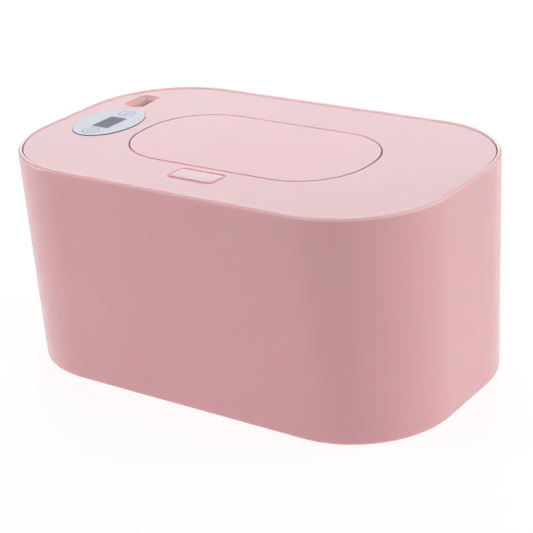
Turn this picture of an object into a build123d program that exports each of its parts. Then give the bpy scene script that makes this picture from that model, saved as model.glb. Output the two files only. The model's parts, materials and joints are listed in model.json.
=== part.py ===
from build123d import *
import os
from math import tan, radians, sqrt

os.makedirs("parts", exist_ok=True)

# Baby wipe warmer.
# Frame: millimetres, +Z up, +X along the length (the controls are at the -X end), the front faces -Y.
# The origin is on the floor, at the middle of the footprint.

# ---------------------------------------------------------------- driving dimensions
LENGTH = 230.0            # outside length at the rim
DEPTH = 137.5             # outside depth at the rim
CORNER_R = 50.6           # plan corner radius at the rim
SHELL_H = 108.3           # height of the bucket alone
FOOT_PROUD = 1.5          # feet stand this far below the bucket
TOP = FOOT_PROUD + SHELL_H
DRAFT = 1.09              # degrees, all outside and inside walls

RIM_T = 1.9               # wall at the rim
WALL_T = 2.8              # wall below the flange seat
FLOOR_T = 2.4
RIM_FILLET = 1.35
RIM_INNER_FILLET = 0.3
BASE_FILLET = 1.4

FLANGE_TOP = 93.0         # top of the tub's flange
FLANGE_T = 2.0
TUB_INSET = 8.4           # tub's outside, inset from the bucket's outside
TUB_T = 1.8
TUB_FLOOR = 11.0          # underside of the tub's floor
SLEEVE_LOW = 6.5

COVER_DROP = 0.55         # cover's surface below the rim
COVER_INSET = 2.35
COVER_T = 2.2
SKIRT_T = 1.8
SKIRT_LOW = 93.3
CZ = TOP - COVER_DROP     # cover's top surface
CU = CZ - COVER_T         # cover panel's underside

FLAP_L, FLAP_D, FLAP_R = 127.3, 68.2, 31.4
FLAP_GAP = 0.5
FLAP_T = 1.8
FLAP_STEP = 1.2           # the flap's skirt is set in from its edge
FLAP_WALL = 1.4
FLAP_LOW = 104.6
FU = CZ - FLAP_T          # flap panel's underside
FLAP_OPEN = 95.0          # degrees

LEDGE_Z = 102.8           # seat under the flap
LEDGE_T = 1.6
# hidden hinge: the axis lies behind the flap, under the cover's panel, in a bay; two swan-neck
# arms reach round the panel's edge from the pin to the flap
HINGE_Y, HINGE_Z = FLAP_D / 2 + 5.5, CZ - 3.0
PIN_R = 0.8
HUB_R = 1.6
ARM_IN, ARM_OUT, ARM_W, ARM_X = 6.05, 7.85, 6.0, 22.0
BAY_X, BAY_FRONT, BAY_BACK, BAY_Z = 26.0, 30.0, 42.4, 98.1

THROAT_L, THROAT_D, THROAT_R, THROAT_Y = 108.0, 48.5, 21.5, -2.25
THROAT_T = 1.6
LINER_LOW, LINER_TOP = 93.8, 95.3

BTN_L, BTN_D, BTN_R, BTN_Y = 25.0, 12.4, 2.5, -44.8
BTN_GAP = 0.6
BTN_TRAVEL = 2.0

LENS_X, LENS_Y, LENS_L, LENS_D = -87.6, -0.4, 32.0, 43.0
LENS_T = 1.0              # depth of its recess
LENS_PROUD = 0.3          # the lens stands this far above the cover
LCD_X, LCD_Y = -86.6, -0.9
KEY_X, KEY_TOP_Y, KEY_LOW_Y = -87.4, 13.6, -14.9
PORT_X, PORT_Y = -93.7, 35.3
PORT_L, PORT_D, PORT_DEPTH = 11.4, 18.5, 2.75
PORT_POCKET_X, PORT_POCKET_Y = -94.1, 33.95

PCB_LOW, PCB_TOP = 98.6, 100.2
FEET = [(80.0, 35.0), (-80.0, 35.0), (80.0, -35.0), (-80.0, -35.0)]
LINER_BOSSES = [(-80.0, -46.0), (-72.0, 52.0), (20.0, 57.0), (38.0, -56.5), (97.0, 36.0), (97.0, -36.0)]
PCB_BOSSES = [(-99.5, -19.0), (-74.5, -19.0), (-74.5, 22.0), (-99.5, 19.0)]
GUIDE_BOSSES = [(-18.5, -50.0), (18.5, -50.0)]
PANEL_BOSSES = [(-44.0, -19.0), (44.0, -19.0), (-44.0, 9.0), (44.0, 9.0)]


def plan(z, inset):
    """Length, depth and corner radius of the drafted outline at a height, moved in by an inset."""
    d = inset + (TOP - z) * tan(radians(DRAFT))
    return LENGTH - 2 * d, DEPTH - 2 * d, CORNER_R - d


# ================================================================ base

# ---- outer shell: drafted bucket, thin rim, seat for the tub's flange, four foot pads
with BuildPart() as outer_shell:
    with BuildSketch(Plane.XY.offset(FOOT_PROUD)):
        RectangleRounded(*plan(FOOT_PROUD, 0))
    with BuildSketch(Plane.XY.offset(TOP)):
        RectangleRounded(*plan(TOP, 0))
    loft(ruled=True)
    fillet(outer_shell.edges().group_by(Axis.Z)[0], BASE_FILLET)
    fillet(outer_shell.edges().group_by(Axis.Z)[-1], RIM_FILLET)
    with BuildSketch(Plane.XY.offset(TOP + 0.01)):
        RectangleRounded(*plan(TOP + 0.01, RIM_T))
    with BuildSketch(Plane.XY.offset(FLANGE_TOP - FLANGE_T)):
        RectangleRounded(*plan(FLANGE_TOP - FLANGE_T, RIM_T))
    loft(ruled=True, mode=Mode.SUBTRACT)
    with BuildSketch(Plane.XY.offset(FLANGE_TOP - FLANGE_T + 0.01)):
        RectangleRounded(*plan(FLANGE_TOP - FLANGE_T + 0.01, WALL_T))
    with BuildSketch(Plane.XY.offset(FOOT_PROUD + FLOOR_T)):
        RectangleRounded(*plan(FOOT_PROUD + FLOOR_T, WALL_T))
    loft(ruled=True, mode=Mode.SUBTRACT)
    fillet(outer_shell.faces().filter_by(Axis.Z).sort_by(Axis.Z)[-1].inner_wires()[0].edges(), RIM_INNER_FILLET)
    # pads inside the floor, over the feet
    with BuildSketch(Plane.XY.offset(FOOT_PROUD + FLOOR_T - 0.5)):
        with Locations(*FEET):
            Circle(7.6)
    extrude(amount=7.4 - (FOOT_PROUD + FLOOR_T - 0.5))
    # pockets for the feet, screw heads and shanks
    with BuildSketch(Plane.XY.offset(FOOT_PROUD)):
        with Locations(*FEET):
            Circle(6.2)
    extrude(amount=1.5, mode=Mode.SUBTRACT)
    with BuildSketch(Plane.XY.offset(FOOT_PROUD)):
        with Locations(*FEET):
            Circle(3.2)
    extrude(amount=5.4 - FOOT_PROUD, mode=Mode.SUBTRACT)
    with BuildSketch(Plane.XY.offset(FOOT_PROUD)):
        with Locations(*FEET):
            Circle(1.7)
    extrude(amount=8.0, mode=Mode.SUBTRACT)
    # shallow bare panel under the floor
    with BuildSketch(Plane.XY.offset(FOOT_PROUD)):
        RectangleRounded(74, 36, 4)
    extrude(amount=0.4, mode=Mode.SUBTRACT)
outer_shell.part.label = "outer_shell"
export_step(outer_shell.part, "parts/outer_shell.step")

# ---- inner tub: holds the wipes; its flange sits on the bucket's seat
with BuildPart() as inner_tub:
    with BuildSketch(Plane.XY.offset(TUB_FLOOR)):
        RectangleRounded(*plan(TUB_FLOOR, TUB_INSET))
    with BuildSketch(Plane.XY.offset(FLANGE_TOP - FLANGE_T + 0.5)):
        RectangleRounded(*plan(FLANGE_TOP - FLANGE_T + 0.5, TUB_INSET))
    loft(ruled=True)
    fillet(inner_tub.edges().group_by(Axis.Z)[0], 6.3)
    with BuildSketch(Plane.XY.offset(FLANGE_TOP - FLANGE_T)):
        RectangleRounded(*plan(FLANGE_TOP - FLANGE_T, RIM_T + 0.15))
    with BuildSketch(Plane.XY.offset(FLANGE_TOP)):
        RectangleRounded(*plan(FLANGE_TOP, RIM_T + 0.15))
    loft(ruled=True)
    with BuildPart(mode=Mode.PRIVATE) as tub_hollow:
        with BuildSketch(Plane.XY.offset(TUB_FLOOR + TUB_T)):
            RectangleRounded(*plan(TUB_FLOOR + TUB_T, TUB_INSET + TUB_T))
        with BuildSketch(Plane.XY.offset(FLANGE_TOP + 1)):
            RectangleRounded(*plan(FLANGE_TOP + 1, TUB_INSET + TUB_T))
        loft(ruled=True)
        fillet(tub_hollow.edges().group_by(Axis.Z)[0], 4.5)
    add(tub_hollow.part, mode=Mode.SUBTRACT)
    fillet(inner_tub.faces().filter_by(Axis.Z).sort_by(Axis.Z)[-1].inner_wires()[0].edges(), 0.8)
    # screw bosses under the floor
    with BuildSketch(Plane.XY.offset(7.4)):
        with Locations(*FEET):
            Circle(4.0)
    extrude(amount=TUB_FLOOR + 0.5 - 7.4)
    with BuildSketch(Plane.XY.offset(7.4)):
        with Locations(*FEET):
            Circle(1.5)
    extrude(amount=4.5, mode=Mode.SUBTRACT)
inner_tub.part.label = "inner_tub"
export_step(inner_tub.part, "parts/inner_tub.step")

# ---- foam sleeve between the two walls
with BuildPart() as insulation_sleeve:
    with BuildSketch(Plane.XY.offset(SLEEVE_LOW)):
        RectangleRounded(*plan(SLEEVE_LOW, WALL_T + 0.3))
    with BuildSketch(Plane.XY.offset(90.6)):
        RectangleRounded(*plan(90.6, WALL_T + 0.3))
    loft(ruled=True)
    with BuildSketch(Plane.XY.offset(SLEEVE_LOW - 0.01)):
        RectangleRounded(*plan(SLEEVE_LOW - 0.01, TUB_INSET - 0.3))
    with BuildSketch(Plane.XY.offset(90.61)):
        RectangleRounded(*plan(90.61, TUB_INSET - 0.3))
    loft(ruled=True, mode=Mode.SUBTRACT)
insulation_sleeve.part.label = "insulation_sleeve"
export_step(insulation_sleeve.part, "parts/insulation_sleeve.step")

# ---- rubber feet, stuck over the screws
with BuildPart() as rubber_feet:
    with BuildSketch():
        with Locations(*FEET):
            Circle(6.0)
    extrude(amount=3.0)
    fillet(rubber_feet.edges().group_by(Axis.Z)[0], 0.6)
rubber_feet.part.label = "rubber_feet"
export_step(rubber_feet.part, "parts/rubber_feet.step")

# ---- base screws: pan heads with a cross recess
with BuildPart() as base_screws:
    with BuildSketch(Plane.XY.offset(3.4)):
        with Locations(*FEET):
            Circle(2.8)
    extrude(amount=2.0)
    fillet(base_screws.edges().group_by(Axis.Z)[0], 0.7)
    with BuildSketch(Plane.XY.offset(5.4)):
        with Locations(*FEET):
            Circle(1.48)
    extrude(amount=6.1)
    chamfer(base_screws.edges().group_by(Axis.Z)[-1], 0.5)
    with BuildSketch(Plane.XY.offset(3.4)):
        with Locations(*FEET):
            Rectangle(3.2, 0.7)
            Rectangle(0.7, 3.2)
    extrude(amount=1.0, mode=Mode.SUBTRACT)
base_screws.part.label = "base_screws"
export_step(base_screws.part, "parts/base_screws.step")

# ================================================================ top cover

with BuildPart() as top_cover:
    with BuildSketch(Plane.XY.offset(SKIRT_LOW)):
        RectangleRounded(*plan(SKIRT_LOW, COVER_INSET))
    with BuildSketch(Plane.XY.offset(CZ)):
        RectangleRounded(*plan(CZ, COVER_INSET))
    loft(ruled=True)
    fillet(top_cover.edges().group_by(Axis.Z)[-1], 0.5)
    with BuildSketch(Plane.XY.offset(SKIRT_LOW - 0.01)):
        RectangleRounded(*plan(SKIRT_LOW - 0.01, COVER_INSET + SKIRT_T))
    with BuildSketch(Plane.XY.offset(CU)):
        RectangleRounded(*plan(CU, COVER_INSET + SKIRT_T))
    loft(ruled=True, mode=Mode.SUBTRACT)
    # mouth for the flap, with its edge just broken
    with BuildSketch(Plane.XY.offset(CU)):
        RectangleRounded(FLAP_L + 2 * FLAP_GAP, FLAP_D + 2 * FLAP_GAP, FLAP_R + FLAP_GAP)
    extrude(amount=COVER_T, mode=Mode.SUBTRACT)
    fillet(top_cover.faces().filter_by(Axis.Z).sort_by(Axis.Z)[-1].inner_wires()[0].edges(), 0.35)
    # walls round the flap's recess, and the hinge bay behind it
    with BuildSketch(Plane.XY.offset(LEDGE_Z - LEDGE_T)):
        RectangleRounded(FLAP_L + 2 * (FLAP_GAP + 1.6), FLAP_D + 2 * (FLAP_GAP + 1.6), FLAP_R + FLAP_GAP + 1.6)
    extrude(amount=CU + 0.3 - (LEDGE_Z - LEDGE_T))
    with BuildSketch(Plane.XY.offset(BAY_Z - 1.2)):
        with Locations((0, (BAY_FRONT - 1.2 + BAY_BACK + 1.4) / 2)):
            Rectangle(2 * BAY_X + 2.8, BAY_BACK + 1.4 - BAY_FRONT + 1.2)
    extrude(amount=CU + 0.3 - (BAY_Z - 1.2))
    with BuildSketch(Plane.XY.offset(LEDGE_Z)):
        RectangleRounded(FLAP_L + 2 * FLAP_GAP, FLAP_D + 2 * FLAP_GAP, FLAP_R + FLAP_GAP)
    extrude(amount=CZ + 1 - LEDGE_Z, mode=Mode.SUBTRACT)
    with BuildSketch(Plane.XY.offset(BAY_Z)):
        with Locations((0, (BAY_FRONT + BAY_BACK) / 2)):
            Rectangle(2 * BAY_X, BAY_BACK - BAY_FRONT)
    extrude(amount=CU - BAY_Z, mode=Mode.SUBTRACT)
    with BuildSketch(Plane.XY.offset(CU - 0.5)):
        with Locations((0, HINGE_Y)):
            Rectangle(2 * BAY_X, 4.4)
    extrude(amount=1.5, mode=Mode.SUBTRACT)
    # pin supports: the bay's two ends and one rib in the middle
    with BuildSketch(Plane.YZ.offset(-30.6)):
        with Locations((HINGE_Y, HINGE_Z)):
            Circle(2.3)
    extrude(amount=30.6 - BAY_X - 0.5)
    with BuildSketch(Plane.YZ.offset(BAY_X + 0.5)):
        with Locations((HINGE_Y, HINGE_Z)):
            Circle(2.3)
    extrude(amount=30.6 - BAY_X - 0.5)
    with BuildSketch(Plane.YZ.offset(-1.2)):
        with Locations(((37.8 + BAY_BACK + 0.2) / 2, (BAY_Z - 0.2 + CZ - 1.1) / 2)):
            Rectangle(BAY_BACK + 0.2 - 37.8, CZ - 1.1 - BAY_Z + 0.2)
    extrude(amount=2.4)
    with BuildSketch(Plane.YZ.offset(-29.8)):
        with Locations((HINGE_Y, HINGE_Z)):
            Circle(PIN_R + 0.05)
    extrude(amount=62.0, mode=Mode.SUBTRACT)
    # dispensing throat
    with BuildSketch(Plane.XY.offset(LINER_LOW)):
        with Locations((0, THROAT_Y)):
            RectangleRounded(THROAT_L + 2 * THROAT_T, THROAT_D + 2 * THROAT_T, THROAT_R + THROAT_T)
    extrude(amount=LEDGE_Z - 0.2 - LINER_LOW)
    with BuildSketch(Plane.XY.offset(LINER_LOW - 0.5)):
        with Locations((0, THROAT_Y)):
            RectangleRounded(THROAT_L, THROAT_D, THROAT_R)
    extrude(amount=LEDGE_Z + 0.5 - LINER_LOW + 0.5, mode=Mode.SUBTRACT)
    # pocket for the flap's tongue and the slot the latch lip comes through
    with BuildSketch(Plane.XY.offset(98.7)):
        with Locations((0, -33.4)):
            Rectangle(18.6, 5.8)
    extrude(amount=LEDGE_Z - 0.1 - 98.7)
    with BuildSketch(Plane.XY.offset(99.9)):
        with Locations((0, -33.1)):
            Rectangle(16.0, 3.2)
    extrude(amount=LEDGE_Z + 1 - 99.9, mode=Mode.SUBTRACT)
    with BuildSketch(Plane.XY.offset(101.7)):
        with Locations((0, -35.6)):
            Rectangle(10.4, 2.4)
    extrude(amount=2.6, mode=Mode.SUBTRACT)
    # collar and hole for the release button
    with BuildSketch(Plane.XY.offset(104.4)):
        with Locations((0, BTN_Y)):
            RectangleRounded(BTN_L + 2 * (BTN_GAP + 1.4), BTN_D + 2 * (BTN_GAP + 1.4), BTN_R + BTN_GAP + 1.4)
    extrude(amount=CU + 0.3 - 104.4)
    with BuildSketch(Plane.XY.offset(104.0)):
        with Locations((0, BTN_Y)):
            RectangleRounded(BTN_L + 2 * BTN_GAP, BTN_D + 2 * BTN_GAP, BTN_R + BTN_GAP)
    extrude(amount=10.0, mode=Mode.SUBTRACT)
    # recess and display window for the control lens
    with BuildSketch(Plane.XY.offset(CZ - LENS_T)):
        with Locations((LENS_X, LENS_Y)):
            Ellipse(LENS_L / 2, LENS_D / 2)
    extrude(amount=LENS_T + 1, mode=Mode.SUBTRACT)
    with BuildSketch(Plane.XY.offset(CU - 1)):
        with Locations((LCD_X, LCD_Y)):
            RectangleRounded(11.0, 17.0, 0.8)
    extrude(amount=5, mode=Mode.SUBTRACT)
    # pocket round the power port: its outer and rear walls slope
    with BuildSketch(Plane.XY.offset(CZ - PORT_DEPTH - 1.5)):
        with Locations((PORT_POCKET_X, PORT_POCKET_Y)):
            RectangleRounded(PORT_L + 3.0, PORT_D + 3.0, 3.5)
    extrude(amount=CU + 0.3 - (CZ - PORT_DEPTH - 1.5))
    with BuildSketch(Plane.XY.offset(CZ - PORT_DEPTH)):
        with Locations((PORT_POCKET_X + 0.85, PORT_POCKET_Y - 0.45)):
            RectangleRounded(PORT_L - 2.3, PORT_D - 1.5, 2.0)
    with BuildSketch(Plane.XY.offset(CZ + 0.02)):
        with Locations((PORT_POCKET_X, PORT_POCKET_Y)):
            RectangleRounded(PORT_L, PORT_D, 3.2)
    loft(ruled=True, mode=Mode.SUBTRACT)
    fillet(top_cover.faces().filter_by(Axis.Z).sort_by(Axis.Z)[-1].inner_wires().sort_by(Axis.Y)[-1].edges(), 0.45)
    with BuildSketch(Plane.XY.offset(CZ - PORT_DEPTH - 2)):
        with Locations((PORT_X, PORT_Y)):
            RectangleRounded(3.7, 9.4, 1.8)
    extrude(amount=3, mode=Mode.SUBTRACT)
    # bosses under the panel
    with BuildSketch(Plane.XY.offset(97.0)):
        with Locations(*LINER_BOSSES):
            Circle(3.2)
    extrude(amount=CU + 0.2 - 97.0)
    with BuildSketch(Plane.XY.offset(97.0)):
        with Locations(*LINER_BOSSES):
            Circle(1.3)
    extrude(amount=8.0, mode=Mode.SUBTRACT)
    with BuildSketch(Plane.XY.offset(PCB_TOP)):
        with Locations(*PCB_BOSSES):
            Circle(2.4)
    extrude(amount=CU + 0.2 - PCB_TOP)
    with BuildSketch(Plane.XY.offset(PCB_TOP)):
        with Locations(*PCB_BOSSES):
            Circle(1.0)
    extrude(amount=5.5, mode=Mode.SUBTRACT)
    with BuildSketch(Plane.XY.offset(98.8)):
        with Locations(*GUIDE_BOSSES):
            Circle(2.6)
    extrude(amount=CU + 0.2 - 98.8)
    with BuildSketch(Plane.XY.offset(98.8)):
        with Locations(*GUIDE_BOSSES):
            Circle(1.0)
    extrude(amount=6.0, mode=Mode.SUBTRACT)
    # spigot for the latch spring, on the front skirt
    with BuildSketch(Plane.XZ.offset(62.6)):
        with Locations((0, 101.0)):
            Circle(1.3)
    extrude(amount=2.3)
top_cover.part.label = "top_cover"
export_step(top_cover.part, "parts/top_cover.step")

# ---- liner: closes the cover from below
with BuildPart() as cover_liner:
    with BuildSketch(Plane.XY.offset(LINER_LOW)):
        RectangleRounded(*plan(LINER_LOW, COVER_INSET + SKIRT_T + 0.25))
    with BuildSketch(Plane.XY.offset(LINER_TOP)):
        RectangleRounded(*plan(LINER_TOP, COVER_INSET + SKIRT_T + 0.25))
    loft(ruled=True)
    with BuildSketch(Plane.XY.offset(LINER_TOP - 0.3)):
        with Locations(*LINER_BOSSES):
            Circle(4.5)
    extrude(amount=97.0 - LINER_TOP + 0.3)
    with BuildSketch(Plane.XY.offset(LINER_LOW - 1)):
        with Locations((0, THROAT_Y)):
            RectangleRounded(THROAT_L + 2 * THROAT_T + 0.3, THROAT_D + 2 * THROAT_T + 0.3, THROAT_R + THROAT_T + 0.15)
    extrude(amount=5, mode=Mode.SUBTRACT)
    with BuildSketch(Plane.XY.offset(LINER_LOW)):
        RectangleRounded(*plan(LINER_LOW, COVER_INSET + SKIRT_T + 1.15))
        RectangleRounded(*plan(LINER_LOW, COVER_INSET + SKIRT_T + 4.15), mode=Mode.SUBTRACT)
    extrude(amount=0.7, mode=Mode.SUBTRACT)
    with BuildSketch(Plane.XY.offset(LINER_LOW)):
        with Locations(*LINER_BOSSES):
            Circle(3.1)
    extrude(amount=2.0, mode=Mode.SUBTRACT)
    with BuildSketch(Plane.XY.offset(LINER_LOW)):
        with Locations(*LINER_BOSSES):
            Circle(1.6)
    extrude(amount=5.0, mode=Mode.SUBTRACT)
cover_liner.part.label = "cover_liner"
export_step(cover_liner.part, "parts/cover_liner.step")

# ---- silicone gasket in the liner's groove
with BuildPart() as cover_gasket:
    with BuildSketch(Plane.XY.offset(SKIRT_LOW)):
        RectangleRounded(*plan(LINER_LOW, COVER_INSET + SKIRT_T + 1.15))
        RectangleRounded(*plan(LINER_LOW, COVER_INSET + SKIRT_T + 4.15), mode=Mode.SUBTRACT)
    extrude(amount=LINER_LOW + 0.7 - SKIRT_LOW)
    fillet(cover_gasket.edges().group_by(Axis.Z)[0], 0.4)
cover_gasket.part.label = "cover_gasket"
export_step(cover_gasket.part, "parts/cover_gasket.step")

# ---- liner screws
with BuildPart() as liner_screws:
    with BuildSketch(Plane.XY.offset(94.0)):
        with Locations(*LINER_BOSSES):
            Circle(2.75)
    extrude(amount=1.8)
    fillet(liner_screws.edges().group_by(Axis.Z)[0], 0.6)
    with BuildSketch(Plane.XY.offset(95.8)):
        with Locations(*LINER_BOSSES):
            Circle(1.28)
    extrude(amount=8.0)
    with BuildSketch(Plane.XY.offset(94.0)):
        with Locations(*LINER_BOSSES):
            Rectangle(3.0, 0.7)
            Rectangle(0.7, 3.0)
    extrude(amount=0.9, mode=Mode.SUBTRACT)
liner_screws.part.label = "liner_screws"
export_step(liner_screws.part, "parts/liner_screws.step")

# ---- heater: spreader plate, etched film, foam pad, each a ring round the throat
with BuildPart() as heater_plate:
    with BuildSketch(Plane.XY.offset(LINER_TOP)):
        with Locations((13.0, 4.5)):
            RectangleRounded(158.0, 91.0, 14.0)
        with Locations((0, THROAT_Y)):
            RectangleRounded(THROAT_L + 5.2, THROAT_D + 5.2, THROAT_R + 2.6, mode=Mode.SUBTRACT)
    extrude(amount=0.8)
heater_plate.part.label = "heater_plate"
export_step(heater_plate.part, "parts/heater_plate.step")

with BuildPart() as heating_film:
    with BuildSketch(Plane.XY.offset(LINER_TOP + 0.8)):
        with Locations((13.0, 4.5)):
            RectangleRounded(150.0, 83.0, 11.0)
        with Locations((0, THROAT_Y)):
            RectangleRounded(THROAT_L + 9.2, THROAT_D + 9.2, THROAT_R + 4.6, mode=Mode.SUBTRACT)
    extrude(amount=0.3)
heating_film.part.label = "heating_film"
export_step(heating_film.part, "parts/heating_film.step")

with BuildPart() as heater_insulation:
    with BuildSketch(Plane.XY.offset(LINER_TOP + 1.1)):
        with Locations((13.0, 4.5)):
            RectangleRounded(154.0, 87.0, 12.0)
        with Locations((0, THROAT_Y)):
            RectangleRounded(THROAT_L + 4.6, THROAT_D + 4.6, THROAT_R + 2.3, mode=Mode.SUBTRACT)
        with Locations((0, 36.3)):
            RectangleRounded(58.0, 17.0, 1.0, mode=Mode.SUBTRACT)
        with Locations((-61.4, 9.0)):
            Rectangle(7.2, 6.0, mode=Mode.SUBTRACT)
        with Locations((-61.4, -11.2)):
            Rectangle(7.2, 24.6, mode=Mode.SUBTRACT)
    extrude(amount=1.2)
heater_insulation.part.label = "heater_insulation"
export_step(heater_insulation.part, "parts/heater_insulation.step")

# ---- controls: board, parts on it, display, keys
with BuildPart() as control_pcb:
    with BuildSketch(Plane.XY.offset(PCB_LOW)):
        with Locations((-87.0, 1.0)):
            RectangleRounded(32.0, 50.0, 3.0)
        with Locations((-92.5, 32.0)):
            RectangleRounded(13.0, 20.0, 2.0)
        with Locations(*PCB_BOSSES):
            Circle(1.15, mode=Mode.SUBTRACT)
    extrude(amount=PCB_TOP - PCB_LOW)
control_pcb.part.label = "control_pcb"
export_step(control_pcb.part, "parts/control_pcb.step")

with BuildPart() as pcb_components:
    with BuildSketch(Plane.XY.offset(PCB_TOP)):
        with Locations((-76.0, 4.0)):
            Rectangle(5.0, 6.2)
        with Locations((-76.0, -9.5)):
            Rectangle(6.4, 6.0)
        with Locations((-77.0, 14.0)):
            Rectangle(3.0, 3.0)
        with Locations((-97.5, -12.0)):
            Rectangle(2.0, 1.2)
        with Locations((-97.5, -9.0)):
            Rectangle(2.0, 1.2)
    extrude(amount=1.2)
    with BuildSketch(Plane.XY.offset(PCB_TOP)):
        with Locations((-98.0, 6.0)):
            Circle(4.0)
        with Locations((-98.6, -3.0)):
            Circle(2.5)
    extrude(amount=4.5)
    with BuildSketch(Plane.XY.offset(PCB_TOP)):
        with Locations((-73.2, -15.0)):
            Rectangle(2.6, 1.0)
    extrude(amount=0.8)
pcb_components.part.label = "pcb_components"
export_step(pcb_components.part, "parts/pcb_components.step")

with BuildPart() as lcd_holder:
    with BuildSketch(Plane.XY.offset(PCB_TOP)):
        with Locations((LCD_X, LCD_Y)):
            RectangleRounded(13.0, 19.0, 0.8)
    extrude(amount=105.7 - PCB_TOP)
lcd_holder.part.label = "lcd_holder"
export_step(lcd_holder.part, "parts/lcd_holder.step")

with BuildPart() as lcd_panel:
    with BuildSketch(Plane.XY.offset(105.7)):
        with Locations((LCD_X, LCD_Y)):
            Rectangle(12.6, 18.6)
    extrude(amount=1.2)
lcd_panel.part.label = "lcd_panel"
export_step(lcd_panel.part, "parts/lcd_panel.step")

with BuildPart() as control_lens:
    with BuildSketch(Plane.XY.offset(CZ - LENS_T)):
        with Locations((LENS_X, LENS_Y)):
            Ellipse(LENS_L / 2 - 0.2, LENS_D / 2 - 0.2)
    extrude(amount=LENS_T + LENS_PROUD)
    fillet(control_lens.edges().group_by(Axis.Z)[-1], 0.2)
control_lens.part.label = "control_lens"
export_step(control_lens.part, "parts/control_lens.step")

# touch springs: wire coils between the board and the panel, one behind each key
with BuildPart() as touch_springs:
    for key_y in (KEY_TOP_Y, KEY_LOW_Y):
        with BuildLine() as coil_line:
            Helix(pitch=1.55, height=6.2, radius=2.7, center=(KEY_X, key_y, PCB_TOP + 0.3))
        with BuildSketch(Plane(origin=coil_line.line @ 0, z_dir=coil_line.line % 0)):
            Circle(0.25)
        sweep(path=coil_line.line)
touch_springs.part.label = "touch_springs"
export_step(touch_springs.part, "parts/touch_springs.step")

with BuildPart() as pcb_screws:
    with BuildSketch(Plane.XY.offset(PCB_LOW - 1.4)):
        with Locations(*PCB_BOSSES):
            Circle(1.9)
    extrude(amount=1.4)
    fillet(pcb_screws.edges().group_by(Axis.Z)[0], 0.4)
    with BuildSketch(Plane.XY.offset(PCB_LOW)):
        with Locations(*PCB_BOSSES):
            Circle(0.98)
    extrude(amount=6.0)
pcb_screws.part.label = "pcb_screws"
export_step(pcb_screws.part, "parts/pcb_screws.step")

# ---- power port: upright socket, mouth up, long side along Y
with BuildPart() as usb_port:
    with BuildSketch(Plane.XY.offset(PCB_TOP)):
        with Locations((PORT_X, PORT_Y)):
            RectangleRounded(3.26, 8.94, 1.62)
            RectangleRounded(2.56, 8.24, 1.27, mode=Mode.SUBTRACT)
    extrude(amount=CZ - PORT_DEPTH - 0.1 - PCB_TOP)
usb_port.part.label = "usb_port"
export_step(usb_port.part, "parts/usb_port.step")

with BuildPart() as usb_tongue:
    with BuildSketch(Plane.XY.offset(PCB_TOP)):
        with Locations((PORT_X, PORT_Y)):
            RectangleRounded(2.5, 8.18, 1.24)
    extrude(amount=1.5)
    with BuildSketch(Plane.XY.offset(PCB_TOP + 1.4)):
        with Locations((PORT_X, PORT_Y)):
            Rectangle(0.7, 6.7)
    extrude(amount=4.6)
usb_tongue.part.label = "usb_tongue"
export_step(usb_tongue.part, "parts/usb_tongue.step")

# ---- sensor, cut-out and their wires
FILM_TOP = LINER_TOP + 1.1
with BuildPart() as ntc_sensor:
    with BuildSketch(Plane.XY.offset(FILM_TOP)):
        with Locations((-59.6, 9.0)):
            RectangleRounded(2.8, 5.0, 0.8)
    extrude(amount=1.6)
    fillet(ntc_sensor.edges().group_by(Axis.Z)[-1], 0.5)
ntc_sensor.part.label = "ntc_sensor"
export_step(ntc_sensor.part, "parts/ntc_sensor.step")

with BuildPart() as thermal_fuse:
    with BuildSketch(Plane.XZ.offset(8.5)):
        with Locations((-59.6, FILM_TOP + 1.4)):
            Circle(1.35)
    extrude(amount=9.0)
    with BuildSketch(Plane.XZ.offset(5.5)):
        with Locations((-59.6, FILM_TOP + 1.4)):
            Circle(0.35)
    extrude(amount=15.0)
thermal_fuse.part.label = "thermal_fuse"
export_step(thermal_fuse.part, "parts/thermal_fuse.step")

WIRE_Z = PCB_TOP + 0.6
HEATER_RUNS = [
    [(-73.0, -13.0, WIRE_Z), (-69.5, -13.0, WIRE_Z), (-66.5, -15.5, 98.6), (-63.6, -20.4, 97.8), (-60.0, -21.2, 97.8)],
    [(-73.0, -1.5, WIRE_Z), (-69.5, -1.5, WIRE_Z), (-66.6, -1.2, 98.6), (-63.5, -0.6, 97.0), (-59.9, -0.6, 97.0)],
]
with BuildPart() as heater_leads:
    for run in HEATER_RUNS:
        with BuildLine() as lead_line:
            FilletPolyline(*run, radius=1.6)
        with BuildSketch(Plane(origin=lead_line.line @ 0, z_dir=lead_line.line % 0)):
            Circle(0.55)
        sweep(path=lead_line.line)
heater_leads.part.label = "heater_leads"
export_step(heater_leads.part, "parts/heater_leads.step")

SENSOR_RUNS = [
    [(-73.0, 7.9, WIRE_Z), (-69.5, 7.9, WIRE_Z), (-66.6, 8.1, 98.6), (-63.8, 8.2, 97.2), (-61.05, 8.2, 97.2)],
    [(-73.0, 9.9, WIRE_Z), (-69.5, 9.9, WIRE_Z), (-66.6, 9.8, 98.6), (-63.8, 9.8, 97.2), (-61.05, 9.8, 97.2)],
]
with BuildPart() as sensor_leads:
    for run in SENSOR_RUNS:
        with BuildLine() as lead_line:
            FilletPolyline(*run, radius=1.4)
        with BuildSketch(Plane(origin=lead_line.line @ 0, z_dir=lead_line.line % 0)):
            Circle(0.4)
        sweep(path=lead_line.line)
sensor_leads.part.label = "sensor_leads"
export_step(sensor_leads.part, "parts/sensor_leads.step")

# ================================================================ flap

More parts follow.
